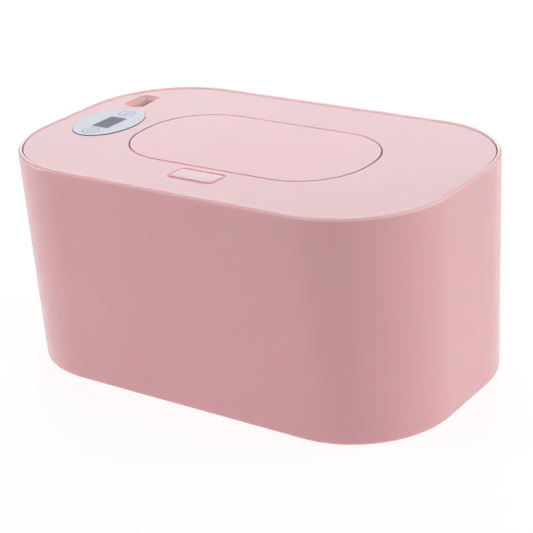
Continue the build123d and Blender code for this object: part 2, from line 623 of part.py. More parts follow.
ARM_START, ARM_END, BAR_ANGLE = 172.0, 287.0, 281.0
with BuildPart() as flap:
    with BuildSketch(Plane.XY.offset(FU)):
        RectangleRounded(FLAP_L, FLAP_D, FLAP_R)
    extrude(amount=FLAP_T)
    fillet(flap.edges().group_by(Axis.Z)[-1], 0.5)
    chamfer(flap.edges().group_by(Axis.Z)[0], 0.8)
    with BuildSketch(Plane.XY.offset(FLAP_LOW)):
        RectangleRounded(FLAP_L - 2 * FLAP_STEP, FLAP_D - 2 * FLAP_STEP, FLAP_R - FLAP_STEP)
        RectangleRounded(FLAP_L - 2 * (FLAP_STEP + FLAP_WALL), FLAP_D - 2 * (FLAP_STEP + FLAP_WALL),
                         FLAP_R - FLAP_STEP - FLAP_WALL, mode=Mode.SUBTRACT)
    extrude(amount=FU + 0.3 - FLAP_LOW)
    # latch tongue with its window
    with BuildSketch(Plane.XZ.offset(32.3)):
        with Locations((0, (100.4 + FU + 0.3) / 2)):
            Rectangle(14.0, FU + 0.3 - 100.4)
    extrude(amount=1.6)
    fillet(flap.edges().filter_by(Axis.Y).group_by(Axis.Z)[0].group_by(Axis.Y)[0], 1.0)
    with BuildSketch(Plane.XZ.offset(31.0)):
        with Locations((0, 103.25)):
            Rectangle(10.0, 2.5)
    extrude(amount=4.0, mode=Mode.SUBTRACT)
    # swan-neck arms: an arc round the panel's edge, a bar and a hub
    for arm_x in (-ARM_X, ARM_X):
        with BuildSketch(Plane.YZ.offset(arm_x - ARM_W / 2)):
            with BuildLine():
                outer = CenterArc((HINGE_Y, HINGE_Z), ARM_OUT, ARM_START, ARM_END - ARM_START)
                inner = CenterArc((HINGE_Y, HINGE_Z), ARM_IN, ARM_START, ARM_END - ARM_START)
                Line(outer @ 0, inner @ 0)
                Line(outer @ 1, inner @ 1)
            make_face()
            with Locations((HINGE_Y, HINGE_Z)):
                Circle(HUB_R)
            with Locations(Location((HINGE_Y, HINGE_Z), BAR_ANGLE)):
                with Locations((ARM_IN / 2 + 0.4, 0)):
                    Rectangle(ARM_IN + 0.8, 1.5)
            with Locations((HINGE_Y - (ARM_IN + ARM_OUT) / 2, HINGE_Z + 0.9)):
                Rectangle(ARM_OUT - ARM_IN, 1.5)
        extrude(amount=ARM_W)
    # lug that the spring's leg pushes
    with BuildSketch(Plane.YZ.offset(15.4)):
        with Locations((37.05, 99.75)):
            Rectangle(1.5, 1.5)
    extrude(amount=ARM_X - ARM_W / 2 + 0.4 - 15.4)
    # bosses for the inner panel
    with BuildSketch(Plane.XY.offset(106.0)):
        with Locations(*PANEL_BOSSES):
            Circle(2.6)
    extrude(amount=FU + 0.2 - 106.0)
    with BuildSketch(Plane.XY.offset(106.0)):
        with Locations(*PANEL_BOSSES):
            Circle(0.9)
    extrude(amount=2.2, mode=Mode.SUBTRACT)
    # bore for the hinge pin
    with BuildSketch(Plane.YZ.offset(-60)):
        with Locations((HINGE_Y, HINGE_Z)):
            Circle(PIN_R + 0.01)
    extrude(amount=120, mode=Mode.SUBTRACT)
flap.part.label = "flap"
export_step(flap.part, "parts/flap.step")

with BuildPart() as flap_inner_panel:
    with BuildSketch(Plane.XY.offset(FLAP_LOW)):
        RectangleRounded(FLAP_L - 2 * (FLAP_STEP + FLAP_WALL + 0.2), FLAP_D - 2 * (FLAP_STEP + FLAP_WALL + 0.2),
                         FLAP_R - FLAP_STEP - FLAP_WALL - 0.2)
    extrude(amount=1.4)
    with BuildSketch(Plane.XY.offset(FLAP_LOW)):
        with Locations((0, THROAT_Y)):
            RectangleRounded(THROAT_L + 8.8, THROAT_D + 8.8, THROAT_R + 4.4)
            RectangleRounded(THROAT_L + 3.2, THROAT_D + 3.2, THROAT_R + 1.6, mode=Mode.SUBTRACT)
    extrude(amount=0.7, mode=Mode.SUBTRACT)
    with BuildSketch(Plane.XY.offset(FLAP_LOW)):
        with Locations(*PANEL_BOSSES):
            Circle(1.05)
    extrude(amount=2, mode=Mode.SUBTRACT)
    with BuildSketch(Plane.XY.offset(FLAP_LOW)):
        with Locations(*PANEL_BOSSES):
            Circle(2.0)
    extrude(amount=0.7, mode=Mode.SUBTRACT)
flap_inner_panel.part.label = "flap_inner_panel"
export_step(flap_inner_panel.part, "parts/flap_inner_panel.step")

with BuildPart() as flap_seal:
    with BuildSketch(Plane.XY.offset(LEDGE_Z + 0.3)):
        with Locations((0, THROAT_Y)):
            RectangleRounded(THROAT_L + 8.8, THROAT_D + 8.8, THROAT_R + 4.4)
            RectangleRounded(THROAT_L + 3.2, THROAT_D + 3.2, THROAT_R + 1.6, mode=Mode.SUBTRACT)
    extrude(amount=FLAP_LOW + 0.7 - (LEDGE_Z + 0.3))
    fillet(flap_seal.edges().group_by(Axis.Z)[0], 0.9)
flap_seal.part.label = "flap_seal"
export_step(flap_seal.part, "parts/flap_seal.step")

with BuildPart() as flap_screws:
    with BuildSketch(Plane.XY.offset(FLAP_LOW - 0.35)):
        with Locations(*PANEL_BOSSES):
            Circle(1.85)
    extrude(amount=1.05)
    fillet(flap_screws.edges().group_by(Axis.Z)[0], 0.3)
    with BuildSketch(Plane.XY.offset(FLAP_LOW + 0.7)):
        with Locations(*PANEL_BOSSES):
            Circle(0.88)
    extrude(amount=2.6)
    with BuildSketch(Plane.XY.offset(FLAP_LOW - 0.35)):
        with Locations(*PANEL_BOSSES):
            Rectangle(2.0, 0.45)
            Rectangle(0.45, 2.0)
    extrude(amount=0.5, mode=Mode.SUBTRACT)
flap_screws.part.label = "flap_screws"
export_step(flap_screws.part, "parts/flap_screws.step")

with BuildPart() as flap_hinge_pin:
    with BuildSketch(Plane.YZ.offset(-29.5)):
        with Locations((HINGE_Y, HINGE_Z)):
            Circle(PIN_R)
    extrude(amount=59.9)
    chamfer(flap_hinge_pin.edges(), 0.2)
flap_hinge_pin.part.label = "flap_hinge_pin"
export_step(flap_hinge_pin.part, "parts/flap_hinge_pin.step")

# torsion spring on the pin, beside the right arm: one leg behind the arm's lug, one on the bay's back wall
COIL_R = 1.25
with BuildPart() as flap_spring:
    with BuildLine() as coil_line:
        Helix(pitch=0.56, height=7.28, radius=COIL_R, center=(9.6, HINGE_Y, HINGE_Z), direction=(1, 0, 0))
    with BuildSketch(Plane(origin=coil_line.line @ 0, z_dir=coil_line.line % 0)):
        Circle(0.22)
    sweep(path=coil_line.line)
    with BuildSketch(Plane.XY.offset(HINGE_Z)):
        with Locations((16.88, HINGE_Y - COIL_R + 0.03)):
            Circle(0.22)
    extrude(amount=-6.8)
    with BuildSketch(Plane.XY.offset(HINGE_Z)):
        with Locations((9.6, HINGE_Y + COIL_R - 0.03)):
            Circle(0.22)
    extrude(amount=-5.6)
flap_spring.part.label = "flap_spring"
export_step(flap_spring.part, "parts/flap_spring.step")

# ================================================================ release button and latch

# crowned cap, a little higher at the front, open channel below from front to back, end tabs that keep it in, ramp rib
with BuildPart() as release_button:
    with BuildSketch(Plane.XY.offset(104.0)):
        with Locations((0, BTN_Y)):
            RectangleRounded(BTN_L, BTN_D, BTN_R)
    extrude(amount=8.0)
    with BuildSketch(Plane.YZ.offset(-20)):
        with BuildLine():
            l1 = Line((BTN_Y - 8, 103), (BTN_Y + 8, 103))
            l2 = Line(l1 @ 1, (BTN_Y + 8, CZ - 0.35))
            l3 = ThreePointArc(l2 @ 1, (BTN_Y, CZ + 0.25), (BTN_Y - 8, CZ + 0.45))
            l4 = Line(l3 @ 1, l1 @ 0)
        make_face()
    extrude(amount=40, mode=Mode.INTERSECT)
    fillet(release_button.faces().sort_by(Axis.Z)[-1].edges(), 1.1)
    with BuildSketch(Plane.XY.offset(104.0)):
        with Locations((0, BTN_Y)):
            RectangleRounded(BTN_L - 2.6, BTN_D - 2.6, BTN_R - 1.3)
    extrude(amount=107.3 - 104.0, mode=Mode.SUBTRACT)
    with BuildSketch(Plane.XY.offset(104.0)):
        with Locations((0, BTN_Y)):
            Rectangle(10.4, 20.0)
    extrude(amount=107.1 - 104.0, mode=Mode.SUBTRACT)
    with BuildSketch(Plane.XY.offset(102.8)):
        with Locations((12.5, BTN_Y), (-12.5, BTN_Y)):
            Rectangle(3.4, 8.0)
    extrude(amount=1.3)
    with BuildSketch(Plane.XY.offset(104.0)):
        with Locations((11.45, BTN_Y), (-11.45, BTN_Y)):
            Rectangle(1.3, 8.0)
    extrude(amount=0.5)
    with BuildSketch(Plane.YZ.offset(-3.2)):
        with BuildLine():
            Polyline((-45.9, 103.0), (-41.5, 103.0), (-41.5, 107.5), (-50.4, 107.5), close=True)
        make_face()
    extrude(amount=6.4)
release_button.part.label = "release_button"
export_step(release_button.part, "parts/release_button.step")

# slider: plate, wedge, upright with the lip, front tab with a spigot for the spring
with BuildPart() as latch_slider:
    with BuildSketch(Plane.XY.offset(98.9)):
        with Locations((0, (-57.0 - 37.6) / 2)):
            Rectangle(18.0, 19.4)
    extrude(amount=1.6)
    with BuildSketch(Plane.YZ.offset(-3.2)):
        with BuildLine():
            Polyline((-49.5, 100.4), (-43.4, 100.4), (-43.5, 100.5), (-48.0, 105.0), (-49.5, 105.0), close=True)
        make_face()
    extrude(amount=6.4)
    with BuildSketch(Plane.YZ.offset(-4.6)):
        with BuildLine():
            Polyline((-39.4, 100.4), (-37.6, 100.4), (-37.6, 102.1), (-32.7, 102.1), (-32.7, 102.6),
                     (-33.9, 103.9), (-39.4, 103.9), close=True)
        make_face()
    extrude(amount=9.2)
    with BuildSketch(Plane.XY.offset(100.4)):
        with Locations((0, -56.2)):
            Rectangle(9.0, 1.6)
    extrude(amount=2.8)
    with BuildSketch(Plane.XZ.offset(56.9)):
        with Locations((0, 101.0)):
            Circle(1.25)
    extrude(amount=2.1)
latch_slider.part.label = "latch_slider"
export_step(latch_slider.part, "parts/latch_slider.step")

# guide: channel with lips over the slider's edges, two screw ears
with BuildPart() as latch_guide:
    with BuildSketch(Plane.XY.offset(97.75)):
        with Locations((0, -46.8)):
            Rectangle(21.0, 16.4)
        with Locations((0, -50.0)):
            RectangleRounded(43.0, 6.4, 2.5)
        with Locations(*GUIDE_BOSSES):
            Circle(1.15, mode=Mode.SUBTRACT)
    extrude(amount=1.05)
    with BuildSketch(Plane.XY.offset(98.7)):
        with Locations((9.83, -46.8), (-9.83, -46.8)):
            Rectangle(1.34, 16.4)
    extrude(amount=2.9)
    with BuildSketch(Plane.XY.offset(100.6)):
        with Locations((9.25, -46.8), (-9.25, -46.8)):
            Rectangle(2.5, 16.4)
    extrude(amount=1.0)
latch_guide.part.label = "latch_guide"
export_step(latch_guide.part, "parts/latch_guide.step")

with BuildPart() as latch_guide_screws:
    with BuildSketch(Plane.XY.offset(96.45)):
        with Locations(*GUIDE_BOSSES):
            Circle(1.9)
    extrude(amount=1.3)
    with BuildSketch(Plane.XY.offset(97.75)):
        with Locations(*GUIDE_BOSSES):
            Circle(0.98)
    extrude(amount=6.0)
latch_guide_screws.part.label = "latch_guide_screws"
export_step(latch_guide_screws.part, "parts/latch_guide_screws.step")

# compression spring that pushes the slider back towards the flap
with BuildPart() as latch_spring:
    with BuildLine() as coil_line:
        Helix(pitch=1.25, height=6.4, radius=1.75, center=(0, -57.3, 101.0), direction=(0, -1, 0))
    with BuildSketch(Plane(origin=coil_line.line @ 0, z_dir=coil_line.line % 0)):
        Circle(0.2)
    sweep(path=coil_line.line)
latch_spring.part.label = "latch_spring"
export_step(latch_spring.part, "parts/latch_spring.step")
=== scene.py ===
import json
import math
import bpy
import bmesh
from mathutils import Matrix, Vector


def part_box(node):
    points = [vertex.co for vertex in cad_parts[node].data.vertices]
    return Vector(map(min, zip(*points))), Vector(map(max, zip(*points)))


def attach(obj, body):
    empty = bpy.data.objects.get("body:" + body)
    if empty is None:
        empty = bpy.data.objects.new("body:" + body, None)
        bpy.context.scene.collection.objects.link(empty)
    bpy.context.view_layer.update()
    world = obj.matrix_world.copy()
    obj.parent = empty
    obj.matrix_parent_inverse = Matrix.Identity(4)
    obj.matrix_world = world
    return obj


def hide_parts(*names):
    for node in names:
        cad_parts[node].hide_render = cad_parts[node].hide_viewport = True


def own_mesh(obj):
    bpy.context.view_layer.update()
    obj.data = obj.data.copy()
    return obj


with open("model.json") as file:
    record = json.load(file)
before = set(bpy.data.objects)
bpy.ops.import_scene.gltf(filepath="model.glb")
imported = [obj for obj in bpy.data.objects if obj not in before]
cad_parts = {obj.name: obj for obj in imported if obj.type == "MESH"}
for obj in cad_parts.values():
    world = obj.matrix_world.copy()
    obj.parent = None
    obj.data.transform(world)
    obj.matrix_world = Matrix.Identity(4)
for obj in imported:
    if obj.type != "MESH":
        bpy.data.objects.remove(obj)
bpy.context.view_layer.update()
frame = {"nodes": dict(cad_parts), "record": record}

NODES = frame["nodes"]

MM = 0.001
CZ = 109.25               # cover's top surface
bpy.context.scene.view_settings.view_transform = "Standard"


def mm(*v):
    return Vector([c * MM for c in v])


# ------------------------------------------------------------------ camera
def make_camera():
    az, el, roll = math.radians(36.0576), math.radians(23.1679), math.radians(-3.9387)
    back = Vector((math.sin(az) * math.cos(el), -math.cos(az) * math.cos(el), math.sin(el)))
    right = Vector((0, 0, 1)).cross(back).normalized()
    up = back.cross(right)
    r2 = right * math.cos(roll) + up * math.sin(roll)
    u2 = up * math.cos(roll) - right * math.sin(roll)
    data = bpy.data.cameras.new("camera")
    cam = bpy.data.objects.new("camera", data)
    bpy.context.scene.collection.objects.link(cam)
    rot = Matrix((r2, u2, back)).transposed().to_4x4()
    cam.matrix_world = Matrix.Translation(mm(435.587, -594.067, 362.333)) @ rot
    data.sensor_fit = "HORIZONTAL"
    data.sensor_width = 36.0
    data.lens = 36.0 * 1649.219 / 533.0
    data.clip_start = 0.01
    data.clip_end = 50.0
    bpy.context.scene.camera = cam
    return cam


camera = make_camera()


# ------------------------------------------------------------------ shader helpers
class Shader:
    """A principled material whose nodes are added with short calls; coordinates are the object's own, in metres."""

    def __init__(self, name):
        self.mat = bpy.data.materials.new(name)
        self.mat.use_nodes = True
        self.nt = self.mat.node_tree
        self.bsdf = self.nt.nodes["Principled BSDF"]
        self.coord = self.nt.nodes.new("ShaderNodeTexCoord")

    def node(self, kind, **values):
        n = self.nt.nodes.new(kind)
        for k, v in values.items():
            if hasattr(n, k):
                setattr(n, k, v)
            else:
                n.inputs[k.replace("_", " ")].default_value = v
        return n

    def link(self, a, b):
        self.nt.links.new(a, b)

    def set(self, **values):
        for k, v in values.items():
            self.bsdf.inputs[k.replace("_", " ")].default_value = v

    def noise(self, scale, detail=2.0, rough=0.5, stretch=None):
        n = self.node("ShaderNodeTexNoise", Scale=scale, Detail=detail, Roughness=rough)
        if stretch:
            m = self.node("ShaderNodeMapping")
            m.inputs["Scale"].default_value = stretch
            self.link(self.coord.outputs["Object"], m.inputs["Vector"])
            self.link(m.outputs["Vector"], n.inputs["Vector"])
        else:
            self.link(self.coord.outputs["Object"], n.inputs["Vector"])
        return n.outputs["Fac"]

    def ramp(self, fac, stops):
        r = self.node("ShaderNodeValToRGB")
        els = r.color_ramp.elements
        while len(els) < len(stops):
            els.new(0.5)
        for e, (p, c) in zip(els, stops):
            e.position = p
            e.color = c if len(c) == 4 else (*c, 1)
        self.link(fac, r.inputs["Fac"])
        return r.outputs["Color"]

    def value(self, fac, low, high, a=0.3, b=0.7):
        m = self.node("ShaderNodeMapRange")
        m.inputs["From Min"].default_value = a
        m.inputs["From Max"].default_value = b
        m.inputs["To Min"].default_value = low
        m.inputs["To Max"].default_value = high
        self.link(fac, m.inputs["Value"])
        return m.outputs["Result"]

    def math(self, op, a, b=None, clamp=False):
        m = self.node("ShaderNodeMath", operation=op, use_clamp=clamp)
        for i, v in enumerate((a, b)):
            if v is None:
                continue
            if isinstance(v, (int, float)):
                m.inputs[i].default_value = v
            else:
                self.link(v, m.inputs[i])
        return m.outputs[0]

    def mix(self, fac, a, b):
        m = self.node("ShaderNodeMix", data_type="RGBA")
        for sock, v in ((m.inputs[0], fac), (m.inputs[6], a), (m.inputs[7], b)):
            if isinstance(v, (int, float)):
                sock.default_value = v
            elif isinstance(v, tuple):
                sock.default_value = v if len(v) == 4 else (*v, 1)
            else:
                self.link(v, sock)
        return m.outputs[2]

    def axes(self):
        s = self.node("ShaderNodeSeparateXYZ")
        self.link(self.coord.outputs["Object"], s.inputs[0])
        return s.outputs[0], s.outputs[1], s.outputs[2]

    def bump(self, height, strength, distance, after=None):
        b = self.node("ShaderNodeBump", Strength=strength, Distance=distance)
        self.link(height, b.inputs["Height"])
        if after is not None:
            self.link(after, b.inputs["Normal"])
        self.link(b.outputs["Normal"], self.bsdf.inputs["Normal"])
        return b.outputs["Normal"]

    def color(self, out):
        self.link(out, self.bsdf.inputs["Base Color"])

    def rough(self, out):
        self.link(out, self.bsdf.inputs["Roughness"])


def scaled(c, k):
    return tuple(min(1.0, x * k) for x in c)


# ------------------------------------------------------------------ moulded plastics
PINK_BASE = (0.780, 0.430, 0.459)


def moulded(name, base, r_low, r_high, grain=2200.0, grain_depth=0.05, wave=0.035, vary=0.018, ior=1.5):
    """Injection-moulded plastic: slow colour drift, uneven gloss, fine skin grain and a long, slight waviness."""
    s = Shader(name)
    s.set(IOR=ior)
    s.color(s.ramp(s.noise(14.0, 3.0), [(0.3, scaled(base, 1 - vary)), (0.7, scaled(base, 1 + vary))]))
    s.rough(s.value(s.noise(55.0, 4.0, 0.6), r_low, r_high))
    fine = s.bump(s.noise(grain, 2.0), grain_depth, 0.00002)
    s.bump(s.noise(22.0, 1.0), wave, 0.0006, after=fine)
    return s


# Tint of the painted glow, an emission that stands in for light on the plastic.
PAINTED_GLOW_TINT = (0.90, 0.80, 0.82)
# Paler pink painted on the rim's top as painted sheen.
RIM_PAINTED_SHEEN_BASE = (0.785, 0.510, 0.535)


def pink_body(name):
    """Pale pink gloss plastic that lets a little light through."""
    s = moulded(name, PINK_BASE, 0.20, 0.25)
    s.set(Subsurface_Weight=1.0, Subsurface_Scale=0.0025, Subsurface_Radius=(1.0, 0.40, 0.37))
    return s


def step(s, fac, a, b):
    """0 below a, 1 above b, in metres of the object's own coordinates."""
    return s.value(fac, 0.0, 1.0, a, b)


def painted_glow(s, amount, tint=PAINTED_GLOW_TINT):
    """Painted glow: emission laid on the surface as painted light, at thin edges and in narrow recesses."""
    s.set(Emission_Color=(*tint, 1))
    s.link(amount, s.bsdf.inputs["Emission Strength"])


def shell_painted_light(s):
    """Thin rim: its top painted a paler pink as painted sheen, and a painted glow laid on it, stronger on its inner
    wall than outside.
    """
    x, y, z = s.axes()
    rim = step(s, z, 0.1084, 0.1092)
    drift = s.noise(14.0, 3.0)
    body = s.ramp(drift, [(0.3, scaled(PINK_BASE, 0.982)), (0.7, scaled(PINK_BASE, 1.018))])
    painted_sheen = s.ramp(drift, [(0.3, scaled(RIM_PAINTED_SHEEN_BASE, 0.982)), (0.7, scaled(RIM_PAINTED_SHEEN_BASE, 1.018))])
    # Painted sheen: the rim's top is mixed to the paler pink.
    s.color(s.mix(rim, body, painted_sheen))
    face = s.node("ShaderNodeSeparateXYZ")
    s.link(s.coord.outputs["Normal"], face.inputs[0])
    outward = s.math("ADD", s.math("MULTIPLY", x, face.outputs[0]), s.math("MULTIPLY", y, face.outputs[1]))
    # Painted glow on the rim, stronger on the inner wall.
    painted_glow(s, s.math("MULTIPLY", rim, s.value(outward, 0.38, 0.18, -0.03, -0.005)))


def recess_painted_glow(s, low, top, groove, pocket=0.0):
    """Painted glow on the groove walls just under the panel's surface, and in the pocket round the power port:
    emission standing in for light in these recesses.
    """
    x, y, z = s.axes()
    band = s.math("MULTIPLY", step(s, z, low, low + 0.001), s.value(z, 1.0, 0.0, top - 0.0004, top))
    level = s.value(s.math("ABSOLUTE", x), groove, 0.02, 0.044, 0.060)
    if pocket:
        inside = s.math("MULTIPLY", s.value(x, 1.0, 0.0, -0.0880, -0.0875), step(s, y, 0.0238, 0.0243))
        level = s.math("ADD", level, s.math("MULTIPLY", inside, pocket))
    # Pale pink emission here is painted light in the grooves and the pocket.
    painted_glow(s, s.math("MULTIPLY", band, level), (0.96, 0.68, 0.71))


pink_gloss = pink_body("pink_gloss_abs")
pink_shell = pink_body("pink_gloss_abs_shell")
shell_painted_light(pink_shell)
pink_cover = pink_body("pink_gloss_abs_cover")
recess_painted_glow(pink_cover, 0.1062, 0.1092, 0.33, 0.27)
pink_flap = pink_body("pink_gloss_abs_flap")
recess_painted_glow(pink_flap, 0.1062, 0.1091, 0.31)


def satin_cap():
    """Release button in paler pink satin plastic; its flat top painted paler still as painted sheen, and where its
    edge rolls over a deeper pink with a painted glow, as painted shade and painted bounced light.
    """
    s = moulded("pink_satin_abs", (0.84, 0.60, 0.63), 0.26, 0.33, grain=1500.0, grain_depth=0.10)
    s.set(Subsurface_Weight=0.8, Subsurface_Scale=0.0015, Subsurface_Radius=(1.0, 0.40, 0.37))
    face = s.node("ShaderNodeSeparateXYZ")
    s.link(s.coord.outputs["Normal"], face.inputs[0])
    # Mask by facing: the flat top gets painted sheen, the rolled edge painted shade.
    painted_light_mask = s.value(face.outputs[2], 0.0, 1.0, 0.82, 0.97)
    painted_sheen = s.ramp(s.noise(14.0, 3.0), [(0.3, (0.78, 0.535, 0.570)), (0.7, (0.81, 0.560, 0.595))])
    s.color(s.mix(painted_light_mask, (0.84, 0.36, 0.40), painted_sheen))
    # Painted glow on the rolled edge.
    painted_glow(s, s.value(painted_light_mask, 0.16, 0.0, 0.0, 1.0))
    return s


pink_satin = satin_cap()
white_plastic = moulded("white_pp", (0.80, 0.79, 0.775), 0.34, 0.44, grain=1100.0, grain_depth=0.16)
white_plastic.set(Subsurface_Weight=0.08, Subsurface_Scale=0.002)
black_plastic = moulded("black_moulding", (0.018, 0.018, 0.02), 0.42, 0.55, grain=1400.0, grain_depth=0.2, vary=0.12)


def foam_material():
    s = Shader("closed_cell_foam")
    v = s.node("ShaderNodeTexVoronoi", Scale=900.0)
    s.link(s.coord.outputs["Object"], v.inputs["Vector"])
    s.color(s.mix(s.value(s.noise(60.0, 4.0), 0.0, 1.0), (0.70, 0.69, 0.66), (0.80, 0.79, 0.77)))
    s.rough(s.value(s.noise(300.0, 2.0), 0.85, 0.97))
    s.bump(v.outputs["Distance"], 0.5, 0.0003)
    return s


def rubber_material():
    s = Shader("soft_grey_rubber")
    s.color(s.ramp(s.noise(120.0, 4.0), [(0.3, (0.085, 0.082, 0.086)), (0.7, (0.125, 0.12, 0.125))]))
    s.rough(s.value(s.noise(220.0, 3.0), 0.68, 0.85))
    s.bump(s.noise(1800.0, 3.0), 0.35, 0.0001)
    return s


def silicone_material():
    s = Shader("white_silicone")
    s.set(Subsurface_Weight=0.35, Subsurface_Scale=0.003, IOR=1.41)
    s.color(s.ramp(s.noise(80.0, 3.0), [(0.3, (0.74, 0.72, 0.715)), (0.7, (0.82, 0.80, 0.795))]))
    s.rough(s.value(s.noise(200.0, 2.0), 0.38, 0.52))
    s.bump(s.noise(1500.0, 2.0), 0.12, 0.00005)
    return s


def steel_material():
    s = Shader("zinc_plated_steel")
    s.set(Metallic=1.0)
    s.color(s.ramp(s.noise(260.0, 4.0), [(0.3, (0.50, 0.51, 0.53)), (0.7, (0.66, 0.66, 0.65))]))
    s.rough(s.value(s.noise(700.0, 3.0), 0.24, 0.40))
    s.bump(s.noise(2600.0, 2.0), 0.12, 0.00003)
    return s


def aluminium_material():
    s = Shader("mill_aluminium")
    s.set(Metallic=1.0)
    streak = s.noise(900.0, 3.0, 0.6, stretch=(0.03, 1.0, 1.0))
    s.color(s.ramp(streak, [(0.3, (0.70, 0.70, 0.71)), (0.7, (0.84, 0.84, 0.85))]))
    s.rough(s.value(streak, 0.26, 0.44))
    s.bump(streak, 0.15, 0.00003)
    return s


def film_material():
    """Amber film; the etched track runs as a close meander of lines along the length."""
    s = Shader("heating_film_track")
    x, y, z = s.axes()
    line = s.math("ABSOLUTE", s.math("SUBTRACT", s.math("FRACT", s.math("MULTIPLY", y, 310.0)), 0.5))
    turn = s.math("ABSOLUTE", s.math("SUBTRACT", s.math("FRACT", s.math("MULTIPLY", x, 22.0)), 0.5))
    track = s.math("MULTIPLY", s.math("GREATER_THAN", line, 0.22), s.math("LESS_THAN", turn, 0.47))
    s.color(s.mix(track, s.ramp(s.noise(50.0), [(0.3, (0.44, 0.15, 0.02)), (0.7, (0.55, 0.21, 0.035))]), (0.30, 0.22, 0.17)))
    s.rough(s.value(s.noise(160.0), 0.22, 0.34))
    s.bump(track, 0.4, 0.00004)
    return s


def board_material():
    """Green solder mask over a copper layout: straight lands of several widths, a fine weave below."""
    s = Shader("solder_masked_board")
    x, y, z = s.axes()
    cell = s.node("ShaderNodeTexBrick", Scale=1.0)
    cell.inputs["Brick Width"].default_value = 0.0046
    cell.inputs["Row Height"].default_value = 0.0013
    cell.inputs["Mortar Size"].default_value = 0.00022
    cell.inputs["Color1"].default_value = (0.012, 0.115, 0.040, 1)
    cell.inputs["Color2"].default_value = (0.018, 0.150, 0.055, 1)
    cell.inputs["Mortar"].default_value = (0.006, 0.060, 0.022, 1)
    s.link(s.coord.outputs["Object"], cell.inputs["Vector"])
    s.color(cell.outputs["Color"])
    s.rough(s.value(s.noise(400.0), 0.22, 0.34))
    s.bump(cell.outputs["Fac"], -0.3, 0.00004)
    return s


def tinned_material():
    s = Shader("tinned_metal")
    s.set(Metallic=1.0)
    s.color(s.ramp(s.noise(300.0), [(0.3, (0.62, 0.61, 0.58)), (0.7, (0.76, 0.75, 0.72))]))
    s.rough(s.value(s.noise(500.0), 0.18, 0.32))
    s.bump(s.noise(1800.0), 0.1, 0.00003)
    return s


def lens_material():
    """Clear plastic printed pale silver-blue on its back; its side faces painted dark as painted shade, for the gap
    round the lens.
    """
    s = Shader("printed_lens")
    s.set(IOR=1.49)
    sparkle = s.ramp(s.noise(2600.0, 2.0), [(0.35, (0.475, 0.535, 0.680)), (0.65, (0.530, 0.590, 0.730))])
    up = s.node("ShaderNodeSeparateXYZ")
    s.link(s.coord.outputs["Normal"], up.inputs[0])
    top = s.value(up.outputs[2], 0.0, 1.0, 0.45, 0.8)
    # Painted shade: faces that don't face up get a near-black colour.
    s.color(s.mix(top, (0.10, 0.095, 0.12), sparkle))
    s.rough(s.value(s.noise(90.0), 0.20, 0.27))
    s.bump(s.noise(30.0), 0.03, 0.0004)
    return s


def display_material(name="display_dark", low=(0.231, 0.254, 0.326), high=(0.267, 0.290, 0.363)):
    s = Shader(name)
    s.set(Specular_IOR_Level=0.015)
    s.color(s.ramp(s.noise(160.0, 3.0), [(0.3, low), (0.7, high)]))
    s.rough(s.value(s.noise(60.0), 0.16, 0.24))
    s.bump(s.noise(35.0), 0.02, 0.0003)
    return s


def ink_material(name, base, rough=0.35):
    s = Shader(name)
    s.color(s.ramp(s.noise(900.0, 2.0), [(0.3, scaled(base, 0.93)), (0.7, scaled(base, 1.07))]))
    s.rough(s.value(s.noise(300.0), rough - 0.04, rough + 0.06))
    return s


def wire_material(name, base):
    s = Shader(name)
    s.color(s.ramp(s.noise(150.0), [(0.3, scaled(base, 0.88)), (0.7, scaled(base, 1.12))]))
    s.rough(s.value(s.noise(400.0), 0.42, 0.56))
    s.bump(s.noise(1300.0), 0.12, 0.00004)
    return s


SLOTS = {
    "pink_gloss": pink_gloss,
    "pink_satin": pink_satin,
    "white_plastic": white_plastic,
    "foam": foam_material(),
    "grey_rubber": rubber_material(),
    "silicone": silicone_material(),
    "steel": steel_material(),
    "aluminium_sheet": aluminium_material(),
    "amber_film": film_material(),
    "green_board": board_material(),
    "black_plastic": black_plastic,
    "tinned_metal": tinned_material(),
    "display_glass": display_material(),
    "lens": lens_material(),
    "red_wire": wire_material("red_silicone_wire", (0.42, 0.018, 0.014)),
    "black_wire": wire_material("black_wire_skin", (0.016, 0.016, 0.018)),
}
OWN = {"outer_shell": pink_shell, "top_cover": pink_cover, "flap": pink_flap}
for part in frame["record"]["subparts"]:
    ob = NODES[part["node"]]
    ob.data.materials.clear()
    ob.data.materials.append(OWN.get(part["node"], SLOTS[part["material_slot"]]).mat)


# ------------------------------------------------------------------ thin prints on the control lens
LENS_TOP = NODES["control_lens"].data
LENS_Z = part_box("control_lens")[1][2] / MM
LCD_X, LCD_Y = -86.8, -0.9
KEY_X, KEY_TOP_Y, KEY_LOW_Y = -87.4, 13.7, -14.95


def finish_mesh(name, bm, mat, body, smooth=True):
    mesh = bpy.data.meshes.new(name)
    bmesh.ops.recalc_face_normals(bm, faces=bm.faces)
    bm.to_mesh(mesh)
    bm.free()
    ob = bpy.data.objects.new(name, mesh)
    bpy.context.scene.collection.objects.link(ob)
    if smooth:
        for p in mesh.polygons:
            p.use_smooth = True
        mesh.set_sharp_from_angle(angle=math.radians(35))
    mesh.materials.append(mat.mat)
    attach(ob, body)
    return ob


def slab(bm, outline, z0, z1):
    """Closed thin solid on an outline given in millimetres."""
    low = [bm.verts.new(mm(x, y, z0)) for x, y in outline]
    high = [bm.verts.new(mm(x, y, z1)) for x, y in outline]
    bm.faces.new(high)
    bm.faces.new(low[::-1])
    n = len(outline)
    for i in range(n):
        j = (i + 1) % n
        bm.faces.new((low[i], low[j], high[j], high[i]))


